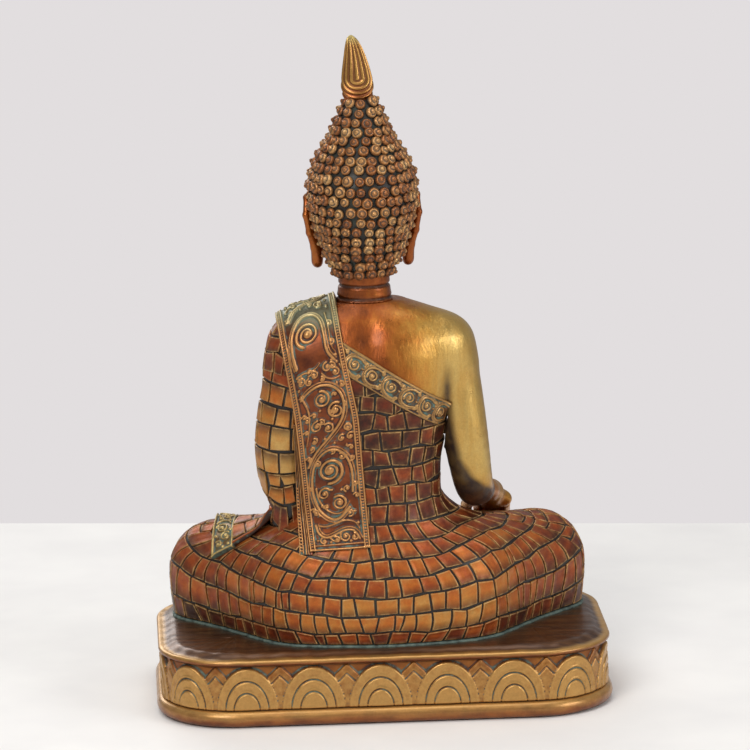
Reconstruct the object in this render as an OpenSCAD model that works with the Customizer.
// Seated buddha statue in cast resin, robe finished as a mosaic, on a plinth with a lotus-petal frieze.
// The figure faces -Y, its left hand is towards +X, and +Z is up. The origin is the middle of the base.

/* [Overall] */
// Width of the plinth, side to side
plinth_w = 204; // [198:1:212]
// Depth of the plinth, front to back
plinth_d = 122; // [120:1:140]
// Corner radius of the plinth in plan
plinth_r = 36; // [28:1:42]
// Height of the deck that the figure sits on
deck_z = 33; // [31:0.5:35]
// Height of the finial's tip
top_z = 300; // [297:1:304]

/* [Figure] */
// Half the distance between the two knee centres
knee_x = 72; // [69:1:74]
// Radius of a knee
knee_r = 21; // [19:0.5:22]
// Height where the head casting sits on the shoulders
neck_z = 183; // [181:1:185]
// Sideways drift of the spine from the plinth's middle, at the neck
spine_drift = 4.5; // [0:0.5:9]
// Height where the finial sits on the hair
crown_z = 271; // [268:1:273]

/* [Relief] */
// Number of lotus petals round the plinth
petals = 20; // [14:2:26]
// How far the petals stand out of their band
petal_relief = 2.4; // [1.6:0.1:2.6]
// Rows of hair curls between the nape and the finial
curl_rows = 13; // [10:1:15]
// How far each curl stands out of the cap
curl_relief = 2; // [1:0.25:2.5]
// Thickness of the shoulder sash and the hem band
cloth_t = 2; // [1.5:0.25:2.5]

/* [Joints] */
// Diameter of the two dowels between plinth and figure
base_dowel_d = 8; // [6:0.5:10]
// Diameter of the neck dowel
neck_dowel_d = 6; // [5:0.5:8]
// Diameter of the two shoulder dowels
arm_dowel_d = 4; // [3:0.5:5]
// Diameter of the finial's pin
finial_pin_d = 2.5; // [2:0.25:3.5]
// Radial glue gap round each dowel
glue_gap = 0.1; // [0.05:0.05:0.2]

/* [Hidden] */

seat_gap = 0.3;      // between a laid-on part and the surface under it
felt_t = 1.5;
board_t = 2.5;
lip_bottom = 0.5;    // the felt stands this far proud of the plinth
lip_top = 7.5;
band_top = 27.5;
rim_top = 30;
deck_t = 6;
wall_t = 8;
rebate_inset = 4;
ball_fn = 24;

spine_bow = 1.8;     // the back swings this far to one side, half-way up
function spine_x(z) =
    let (share = (z - deck_z) / (neck_z - deck_z))
    spine_drift * share + spine_bow * sin(180 * share);

// ---------------------------------------------------------------- shared shapes

// Rounded rectangle as a list of points, pulled in by inset
function plate_points(inset, steps = 9) =
    let (w = plinth_w / 2 - plinth_r, d = plinth_d / 2 - plinth_r, r = plinth_r - inset)
    [for (corner = [0:3]) for (i = [0:steps])
        let (a = 90 * corner + 90 * i / steps,
             sx = (corner == 0 || corner == 3) ? 1 : -1,
             sy = corner < 2 ? 1 : -1)
        [sx * w + r * cos(a), sy * d + r * sin(a)]];

module plate(inset, z0, z1) {
    translate([0, 0, z0]) linear_extrude(z1 - z0) polygon(plate_points(inset));
}

// Closed solid through a stack of rings that all have the same number of points
module loft(rings) {
    n = len(rings[0]);
    m = len(rings);
    sides = [for (i = [0:m - 2]) for (j = [0:n - 1])
        let (k = (j + 1) % n)
        each [[i * n + j, (i + 1) * n + j, i * n + k],
              [i * n + k, (i + 1) * n + j, (i + 1) * n + k]]];
    bottom = [for (j = [0:n - 1]) j];
    lid = [for (j = [n - 1:-1:0]) (m - 1) * n + j];
    polyhedron([for (r = rings) each r], concat([bottom], sides, [lid]), convexity = 6);
}

// Oval ring at height z, half-width a, from y0 at the front to y1 at the back
function oval(x, z, a, y0, y1, n = 36) =
    [for (i = [0:n - 1]) [x + a * cos(360 * i / n), (y0 + y1) / 2 + (y1 - y0) / 2 * sin(360 * i / n), z]];

function unit(v) = v / norm(v);

// Ring of radius r about point p, square to direction t
function hoop(p, t, r, n) =
    let (side = unit(cross(abs(t[2]) > 0.8 ? [1, 0, 0] : [0, 0, 1], t)), up = cross(t, side))
    [for (i = [0:n - 1]) p + r * (cos(360 * i / n) * side + sin(360 * i / n) * up)];

// Round limb through points, each with its own radius
module limb(points, radii, n = 12) {
    last = len(points) - 1;
    dirs = [for (i = [0:last]) unit(points[min(i + 1, last)] - points[max(i - 1, 0)])];
    tip = 0.5;
    first_rings = [hoop(points[0] - dirs[0] * radii[0] * tip, dirs[0], radii[0] * tip, n)];
    mid_rings = [for (i = [0:last]) hoop(points[i], dirs[i], radii[i], n)];
    last_rings = [hoop(points[last] + dirs[last] * radii[last] * tip, dirs[last], radii[last] * tip, n)];
    loft(concat(first_rings, mid_rings, last_rings));
}

module ball(p, r) {
    translate(p) sphere(r, $fn = ball_fn);
}

// Flat-faced ball between two limbs, so that all three meet in plane faces
module joint_ball(p, r) {
    hull() ball(p, r);
}

// ---------------------------------------------------------------- base

module felt_pad() {
    color("darkgreen") plate(rebate_inset + seat_gap, 0, felt_t);
}

module base_board() {
    color("tan") plate(rebate_inset + seat_gap, felt_t, felt_t + board_t);
}

board_top = felt_t + board_t;
dowel_x = 42;
dowel_y = 14;
dowel_sink = 5;      // into the deck
dowel_rise = 17;     // into the figure

module at_dowels(z0, h, r) {
    for (side = [-1, 1]) translate([side * dowel_x, dowel_y, z0]) cylinder(h = h, r = r, $fn = 48);
}

core_inset = 4.4;     // the frieze band is wrapped round this part of the plinth

module plinth() {
    color("darkgoldenrod") difference() {
        union() {
            plate(1.2, lip_bottom, lip_bottom + 1.5);
            plate(0, lip_bottom + 1.5, lip_top);
            plate(core_inset, lip_top, band_top);
            plate(1.4, band_top, rim_top);
            plate(4, rim_top, rim_top + 1.5);
            plate(8, rim_top + 1.5, deck_z);
        }
        plate(rebate_inset, -1, board_top);
        plate(wall_t, -1, deck_z - deck_t);
        at_dowels(deck_z - dowel_sink, dowel_sink + 1, base_dowel_d / 2 + glue_gap);
    }
}

module ballast() {
    color("gainsboro") plate(wall_t, board_top, deck_z - deck_t);
}

module base_dowels() {
    color("burlywood") at_dowels(deck_z - dowel_sink, dowel_sink + dowel_rise, base_dowel_d / 2);
}

band_inset = 3;
petal_h = 18.2;
outer_limit = 0.4;

// Place at distance d along the plinth's outline, counted from the middle of the back: [x, y, heading]
function rim_place(d) =
    let (r = plinth_r - band_inset, lx = plinth_w / 2 - plinth_r, ly = plinth_d / 2 - plinth_r,
         arc = PI * r / 2, quarter = lx + arc + ly,
         q = floor(d / quarter), u = d - q * quarter, v = q % 2 == 0 ? u : quarter - u,
         c = v < lx ? [v, ly + r, 0]
           : v < lx + arc ? let (a = 90 * (v - lx) / arc) [lx + r * sin(a), ly + r * cos(a), a]
           : [lx + r, ly - (v - lx - arc), 90])
    q == 0 ? c
        : q == 1 ? [c[0], -c[1], 180 - c[2]]
        : q == 2 ? [-c[0], -c[1], 180 + c[2]]
        : [-c[0], c[1], -c[2]];

rim_length = 4 * (plinth_w / 2 - plinth_r + plinth_d / 2 - plinth_r) + 2 * PI * (plinth_r - band_inset);
petal_pitch = rim_length / petals;

module at_rim(d) {
    place = rim_place(d);
    translate([place[0], place[1], 0]) rotate([0, 0, -place[2]]) children();
}

// Slab that stands out of the band by relief
module slab(relief) {
    rotate([90, 0, 180]) translate([0, 0, -2.6]) linear_extrude(2.6 + relief) children();
}

// Round-headed arch of width w and height h
module arch(w, h) {
    translate([0, h - w / 2]) circle(w / 2, $fn = 40);
    translate([-w / 2, 0]) square([w, h - w / 2]);
}

module petal(w) {
    for (k = [0:2]) {
        size = 1 - 0.31 * k;
        slab(petal_relief * (0.4 + 0.3 * k)) arch(w * size, petal_h * size);
    }
}

// Pointed leaf that fills the gap between two petals
module gap_leaf(w) {
    slab(petal_relief * 0.3) polygon([[-w / 2, 12], [w / 2, 12], [0, petal_h + 1.5]]);
}

module petal_frieze() {
    color("goldenrod") difference() {
        union() {
            plate(band_inset, lip_top, band_top);
            intersection() {
                translate([0, 0, lip_top + 0.2]) for (i = [0:petals - 1]) {
                    at_rim((i + 0.5) * petal_pitch) petal(petal_pitch * 0.92);
                    at_rim(i * petal_pitch) gap_leaf(petal_pitch * 0.45);
                }
                plate(outer_limit, lip_top, band_top);
            }
        }
        plate(core_inset, lip_top - 1, band_top + 1);
    }
}

// ---------------------------------------------------------------- seated figure

// Height, half-width, front and back of the trunk
TRUNK = [
    [33, 50, -24, 50], [44, 52, -26, 54], [58, 49, -22, 54], [72, 42.5, -14, 51], [84, 34.5, -9, 47],
    [96, 30, -6, 44], [110, 30.5, -6, 43], [124, 34, -8, 44], [138, 38, -9, 45.5], [150, 41.5, -9, 45.5],
    [160, 42.5, -6, 44], [167, 42, -3, 42], [172, 39.5, 0, 39.5], [176, 35, 2.5, 37.5], [179.5, 27.5, 5, 35],
    [182, 19, 7, 33], [183, 14.5, 8, 32],
];

module trunk(grow = 0) {
    last = len(TRUNK) - 1;
    rise = neck_z / TRUNK[last][0];
    loft([for (i = [0:last]) let (s = TRUNK[i], z = s[0] * (i == 0 ? 1 : rise) + (i == last ? grow : 0))
        oval(spine_x(s[0]), z, s[1] + grow, s[2] - grow, s[3] + grow)]);
}

hip = [33, 18, 58];
hip_r = 26;
knee = [knee_x, -20, deck_z + knee_r - 1];
shin = [-4, -38, 48];
shin_r = 14;
crossed_lift = 6;    // the right shin lies on the left one
foot_taper = 0.9;    // how much a rounded stretch draws in where it meets the deck

// Round lump that spreads onto the deck
module lump(p, r) {
    ball(p, r);
    translate([p[0], p[1], deck_z - 1])
        cylinder(h = 0.8 * (p[2] - deck_z), r1 = r * foot_taper, r2 = r * 0.97, $fn = ball_fn);
}

// One folded leg: thigh from hip to knee, shin from knee to the lap
module leg(side, grow = 0) {
    lift = side < 0 ? crossed_lift : 0;
    mirror([side < 0 ? 1 : 0, 0, 0]) {
        hull() {
            lump(hip, hip_r + grow);
            lump(knee, knee_r + grow);
        }
        hull() {
            lump(knee, knee_r + grow);
            lump(shin + [0, 0, lift], shin_r + grow);
        }
    }
}

module figure_shape(grow = 0) {
    trunk(grow);
    leg(1, grow);
    leg(-1, grow);
}

shoulder_cut = 28;   // both arms end in a flat face this far from the middle
shoulder_y = 21;
shoulder_z = 156;
seat_bottom = 132;
shoulder_dowel_l = 20;

module at_shoulders(l, r) {
    for (side = [-1, 1]) translate([side * shoulder_cut, shoulder_y, shoulder_z]) rotate([0, 90, 0])
        cylinder(h = l, r = r, center = true, $fn = 48);
}

// Space of the arm on one side, beyond its flat shoulder face
module seat_zone(side) {
    mirror([side < 0 ? 1 : 0, 0, 0]) translate([shoulder_cut, -60, seat_bottom]) cube([60, 160, 70]);
}

// The figure without its two shoulders
module core_shape(grow = 0) {
    difference() {
        figure_shape(grow);
        seat_zone(1);
        seat_zone(-1);
    }
}

// Tapered hollow left by the casting core
core_y = 16;
core_h = 80;
core_foot_r = 30;
core_top_r = 15;

module casting_core() {
    translate([0, core_y, deck_z - 1]) cylinder(h = core_h, r1 = core_foot_r, r2 = core_top_r, $fn = 64);
}

module robed_figure() {
    color("saddlebrown") difference() {
        intersection() {
            figure_shape();
            translate([-150, -150, deck_z]) cube(300);
        }
        seat_zone(1);
        seat_zone(-1);
        casting_core();
        at_dowels(deck_z - 1, dowel_rise + 1.5, base_dowel_d / 2 + glue_gap);
        at_shoulders(shoulder_dowel_l + 1, arm_dowel_d / 2 + glue_gap);
        translate([spine_drift, neck_y, neck_z - neck_sink - 0.5])
            cylinder(h = 30, r = neck_dowel_d / 2 + glue_gap, $fn = 48);
    }
}

// Rounded shoulder, cut off flat where it meets the trunk
module shoulder(side, grow = 0) {
    intersection() {
        trunk(grow);
        seat_zone(side);
    }
}

// Keeps what lies beyond the flat shoulder face of one side
module outside_seat(side) {
    intersection() {
        children();
        mirror([side < 0 ? 1 : 0, 0, 0]) translate([shoulder_cut, -100, 0]) cube([100, 200, 300]);
    }
}

// Finger from knuckle along reach; drop curls the tip downwards
module finger(knuckle, reach, drop, r) {
    limb([knuckle, knuckle + 0.4 * reach + [0, 0, -0.1 * drop], knuckle + 0.75 * reach + [0, 0, -0.5 * drop],
          knuckle + reach + [0, 0, -drop]], [r, 0.95 * r, 0.85 * r, 0.65 * r], 10);
}

// Right arm: bare, slightly away from the waist, its hand hanging over the knee

right_elbow = [-41.5, 21, 97];
right_wrist = [-47.5, -14, 87];

module right_arm_shape(grow = 0) {
    shoulder(-1, grow);
    outside_seat(-1)
        limb([[-30, shoulder_y, 162], [-32.8, shoulder_y, 152], [-35.8, 22.5, 138], [-38.4, 24, 118],
              right_elbow], [for (r = [10, 11, 9.8, 9.4, 8]) r + grow], 20);
    joint_ball(right_elbow, 8.2 + grow);
    limb([right_elbow, [-44.5, 4, 92], right_wrist], [for (r = [8, 7.4, 5.6]) r + grow], 20);
}

module right_hand() {
    limb([right_wrist, [-51.5, -24, 83.5], [-53.5, -37, 77]], [5.6, 7.4, 7], 14);
    for (i = [0:3]) {
        knuckle = [-48 - 3.9 * i, -38, 77 - 0.8 * i];
        limb([knuckle, knuckle + [-0.5, -6, -6], knuckle + [-1, -9, -16], knuckle + [-1, -9.5, -26]],
             [2.7, 2.5, 2.2, 1.6], 10);
    }
    finger(right_wrist + [3, -9, -2], [6, -14, -2], 8, 2.7);
}

module right_arm() {
    color("peru") difference() {
        union() {
            right_arm_shape();
            right_hand();
        }
        core_shape(seat_gap);
        at_shoulders(shoulder_dowel_l + 1, arm_dowel_d / 2 + glue_gap);
    }
}

module shoulder_dowels() {
    color("silver") at_shoulders(shoulder_dowel_l, arm_dowel_d / 2);
}

// Left arm: robed, close to the side, its forearm lying forward to the lap

left_elbow = [40.5, 19, 105];
left_wrist = [22, -25, 83];

module left_arm_shape(grow = 0) {
    shoulder(1, grow);
    outside_seat(1)
        limb([[32, shoulder_y, 162], [35, shoulder_y, 152], [39.2, 22, 138], [42, 23, 120], left_elbow],
             [for (r = [10, 12.6, 13, 12.8, 11.2]) r + grow], 20);
    joint_ball(left_elbow, 11.4 + grow);
    limb([left_elbow, [36, 4, 94], [31, -10, 88]], [for (r = [11, 10.2, 9.4]) r + grow], 20);
    // cloth of the sleeve, falling from the elbow to the thigh
    limb([left_elbow, [39.5, 20, 92], [41, 20, 83]], [for (r = [10.6, 8.4, 7.4]) r + grow], 20);
}

module left_arm() {
    color("saddlebrown") difference() {
        left_arm_shape();
        core_shape(seat_gap);
        at_shoulders(shoulder_dowel_l + 1, arm_dowel_d / 2 + glue_gap);
    }
}

module left_hand_shape(grow = 0) {
    limb([[29, -15, 87], left_wrist, [11, -32, 78], [0, -34, 76]],
         [for (r = [5.6, 5.6, 6.6, 6]) r + grow], 14);
    for (i = [0:3])
        finger([0, -29 - 3.5 * i, 75.5], [-19 + 1.5 * abs(i - 1.5), -1, 0], 1, 2.3 + grow);
    finger([11, -27, 81], [-13, 0, 0], 0, 2.6 + grow);
}

module left_hand() {
    color("peru") difference() {
        left_hand_shape();
        left_arm_shape(seat_gap);
        figure_shape(seat_gap);
    }
}

// Right foot, lying sole up on the left shin
module right_foot() {
    color("peru") difference() {
        union() {
            limb([[8, -47, 62], [18, -48, 64], [30, -47.5, 66.5], [38, -46.5, 67.5]], [5, 5.4, 5.8, 4.6], 14);
            for (i = [0:4]) finger([38, -51 + 2.3 * i, 67.8], [7 - 0.7 * i, 0.6, 0], 0.4, 1.9 - 0.12 * i);
        }
        figure_shape(seat_gap);
        left_hand_shape(seat_gap);
    }
}

// ---------------------------------------------------------------- cloth laid on the figure

// What lies within an outline, drawn as seen from the front or back, between y0 and y1
module outline_block(outline, y0, y1) {
    translate([0, y1, 0]) rotate([90, 0, 0]) linear_extrude(y1 - y0) polygon(outline);
}

// Part of a shape that lies inside an outline drawn from the front
module seen_through(outline, y0, y1) {
    intersection() {
        children();
        outline_block(outline, y0, y1);
    }
}

module dressed_shape(grow) {
    core_shape(grow);
    left_arm_shape(grow);
}

// Middle, height and width of the sash, from each hanging end up to the shoulder
sash_back = [[19.4, 75, 26.5], [24.2, 136, 28], [32, 180, 26]];
sash_front = [[20, 112, 26], [32, 180, 26]];

function sash_outline(line) = concat(
    [for (s = line) [s[0] + s[2] / 2, s[1]]],
    [for (i = [len(line) - 1:-1:0]) [line[i][0] - line[i][2] / 2, line[i][1]]]);

module sash_blocks() {
    outline_block(sash_outline(sash_back), shoulder_y, 90);
    outline_block(sash_outline(sash_front), -60, shoulder_y);
}

module shoulder_sash() {
    color("darkgoldenrod") difference() {
        intersection() {
            union() {
                trunk(seat_gap + cloth_t);
                left_arm_shape(seat_gap + cloth_t);
            }
            union() sash_blocks();
        }
        dressed_shape(seat_gap);
    }
}

hem_w = 11;
hem_high = [14, 166.5];    // where its top edge meets the sash
hem_low = [-shoulder_cut, 139.5];  // where its top edge reaches the armpit
hem_slope = (hem_high[1] - hem_low[1]) / (hem_high[0] - hem_low[0]);
hem_drop = hem_w * sqrt(1 + hem_slope * hem_slope);

module robe_hem_band() {
    reach = [8, 8 * hem_slope];     // runs on under the sash
    outline = [hem_low, hem_high + reach, hem_high + reach - [0, hem_drop], hem_low - [0, hem_drop]];
    color("darkgoldenrod") difference() {
        seen_through(outline, -80, 80) trunk(seat_gap + 0.7 * cloth_t);
        trunk(seat_gap);
        sash_blocks();
    }
}

drape_t = 3;
drape_front = -20;
drape_edge = [[64.7, 92], [64.7, 65.9]];   // line where the drape's border begins

module sleeve_drape() {
    outline = concat([[44, 101], [57, 96]], drape_edge, [[56, 71.6], [46.5, 77.7], [42, 83]]);
    color("saddlebrown") difference() {
        seen_through(outline, drape_front, 70) figure_shape(seat_gap + drape_t);
        dressed_shape(seat_gap);
    }
}

module drape_border() {
    outline = concat(drape_edge, [[69, 63.1], [74, 60.9], [74, 88]]);
    color("darkgoldenrod") difference() {
        seen_through(outline, drape_front, 70) figure_shape(seat_gap + drape_t);
        figure_shape(seat_gap);
    }
}

// ---------------------------------------------------------------- head

neck_y = 20;
neck_sink = 18;      // dowel into the trunk
neck_rise = 14;      // dowel into the head

// Height above the neck seat, half-width, front and back
HEAD = [
    [0, 12.5, 8.5, 31], [4, 11.6, 8.8, 30.5], [14, 11.2, 8.6, 30.2], [17, 11.8, 1, 31], [20, 13, -6, 32],
    [26, 15.6, -8.5, 35], [34, 18.2, -9.5, 38], [44, 20, -9.5, 40], [54, 19.8, -8, 40], [62, 17.6, -4, 37],
    [68, 13.6, 1, 33], [74, 8, 8, 27],
];

HAIR = [
    [14, 13.2, 3, 33.5], [20, 16, -2, 36], [27, 18.6, -6, 40], [35, 20.9, -8, 43], [45, 23.2, -10, 44.5],
    [54, 22.8, -10.5, 44], [60, 20.8, -9, 41.5], [66, 17.6, -5, 37.5], [72, 14, -0.5, 33.5],
    [78, 11.2, 4, 30], [84, 9, 7, 27.5], [89, 6.6, 10, 24.5],
];

head_x = spine_drift + 0.8;
function crown_scale() = (crown_z - neck_z) / HAIR[len(HAIR) - 1][0];
function hair_z(i) = neck_z + HAIR[i][0] * crown_scale();

module skull(grow = 0) {
    loft([for (s = HEAD) oval(head_x, neck_z + s[0] * crown_scale(), s[1] + grow, s[2] - grow, s[3] + grow)]);
}

ear_y = 13;

module ear(side) {
    mirror([side < 0 ? 1 : 0, 0, 0])
        limb([[18.4, ear_y, 198], [19.4, ear_y, 204], [20.8, ear_y, 213], [22.2, ear_y + 1, 221],
              [22.2, ear_y + 2, 229], [20.2, ear_y + 1, 234]], [2, 2.6, 2.8, 3.4, 3.2, 2.2], 12);
}

module nose() {
    limb([[0, -6, 231], [0, -9.5, 222], [0, -12, 214.5]], [1.4, 1.8, 2.8], 12);
}

module head() {
    color("peru") difference() {
        union() {
            skull();
            translate([head_x, 0, 0]) {
                ear(1);
                ear(-1);
                nose();
            }
        }
        hair_shape();
        translate([spine_drift, neck_y, neck_z - 1])
            cylinder(h = neck_rise + 1.5, r = neck_dowel_d / 2 + glue_gap, $fn = 48);
    }
}

module neck_dowel() {
    color("silver") translate([spine_drift, neck_y, neck_z - neck_sink])
        cylinder(h = neck_sink + neck_rise, r = neck_dowel_d / 2, $fn = 48);
}

// Everything in front of the hairline, seen from the side
HAIRLINE = [[20, 180], [16.5, 205], [14, 228], [5, 238], [-4, 241], [-40, 242], [-40, 180]];

module face_zone() {
    translate([-50, 0, 0]) rotate([90, 0, 90]) linear_extrude(100) polygon(HAIRLINE);
}

module hair_shape() {
    difference() {
        loft([for (i = [0:len(HAIR) - 1]) let (s = HAIR[i]) oval(head_x, hair_z(i), s[1], s[2], s[3])]);
        skull();
        face_zone();
    }
}

curl_pitch = 8;
curl_sides = 5;

// Half-width, front and back of the hair at fraction t of its height
function hair_at(t) =
    let (h = HAIR[0][0] + t * (HAIR[len(HAIR) - 1][0] - HAIR[0][0]),
         i = max([for (k = [0:len(HAIR) - 2]) HAIR[k][0] <= h ? k : 0]),
         f = (h - HAIR[i][0]) / (HAIR[i + 1][0] - HAIR[i][0]))
    HAIR[i] * (1 - f) + HAIR[i + 1] * f;

// Height of the hairline at depth y
function hairline_z(y) = y > 16 ? 180 : y > 13 ? 205 : y > 4 ? 237 : 243;

module curl(p, out) {
    tilt = acos(out[2]);
    heading = atan2(out[1], out[0]);
    translate(p) rotate([0, tilt, heading]) hull() {
        translate([0, 0, -1.2]) cylinder(h = 2, r = 2.5, $fn = curl_sides);
        cylinder(h = curl_relief, r = 1.2, $fn = curl_sides);
    }
}

module curls() {
    for (row = [0:curl_rows - 1]) {
        t = 0.03 + 0.9 * row / (curl_rows - 1);
        s = hair_at(t);
        next = hair_at(min(1, t + 0.05));
        depth = (s[3] - s[2]) / 2;
        count = round(PI * (s[1] + depth) / curl_pitch);
        lean = atan2(s[1] - next[1], next[0] - s[0]);
        for (i = [0:count - 1]) {
            a = 360 * (i + 0.5 * (row % 2)) / count;
            y = (s[2] + s[3]) / 2 + depth * sin(a);
            z = neck_z + s[0] * crown_scale();
            out = [cos(a) * cos(lean), sin(a) * cos(lean), sin(lean)];
            if (z > hairline_z(y) + 2) curl([head_x + s[1] * cos(a), y, z], out);
        }
    }
}

module hair_cap() {
    color("sienna") difference() {
        union() {
            hair_shape();
            curls();
        }
        skull();
        translate([0, 0, crown_z]) cylinder(h = 20, r = 40);
        translate(finial_foot - [0, 0, pin_sink + 0.5])
            cylinder(h = 20, r = finial_pin_d / 2 + glue_gap, $fn = 32);
    }
}

// ---------------------------------------------------------------- finial

// Share of the finial's height, half-width, and lean towards +X
FLAME = [
    [0, 5.7, 0], [0.08, 6.6, 0], [0.2, 7.2, 0], [0.34, 7.1, 0.1], [0.5, 6.3, 0.4], [0.66, 5.2, 0.8],
    [0.8, 4.1, 1.3], [0.9, 3, 1.8], [0.96, 2, 2.2], [1, 0.5, 2.4],
];
flame_depth = 0.8;
finial_foot = [head_x + 1, 17, crown_z];
pin_sink = 7;
pin_rise = 7;

module finial() {
    color("gold") difference() {
        translate(finial_foot)
            loft([for (s = FLAME)
                let (depth = s[1] * flame_depth)
                oval(s[2], s[0] * (top_z - crown_z), s[1], -depth, depth)]);
        translate(finial_foot - [0, 0, 1])
            cylinder(h = pin_rise + 1.5, r = finial_pin_d / 2 + glue_gap, $fn = 32);
    }
}

module finial_pin() {
    color("silver") translate(finial_foot - [0, 0, pin_sink])
        cylinder(h = pin_sink + pin_rise, r = finial_pin_d / 2, $fn = 32);
}

felt_pad();
base_board();
plinth();
petal_frieze();
ballast();
base_dowels();
robed_figure();
right_foot();
left_arm();
left_hand();
sleeve_drape();
drape_border();
right_arm();
shoulder_dowels();
shoulder_sash();
robe_hem_band();
head();
neck_dowel();
hair_cap();
finial();
finial_pin();
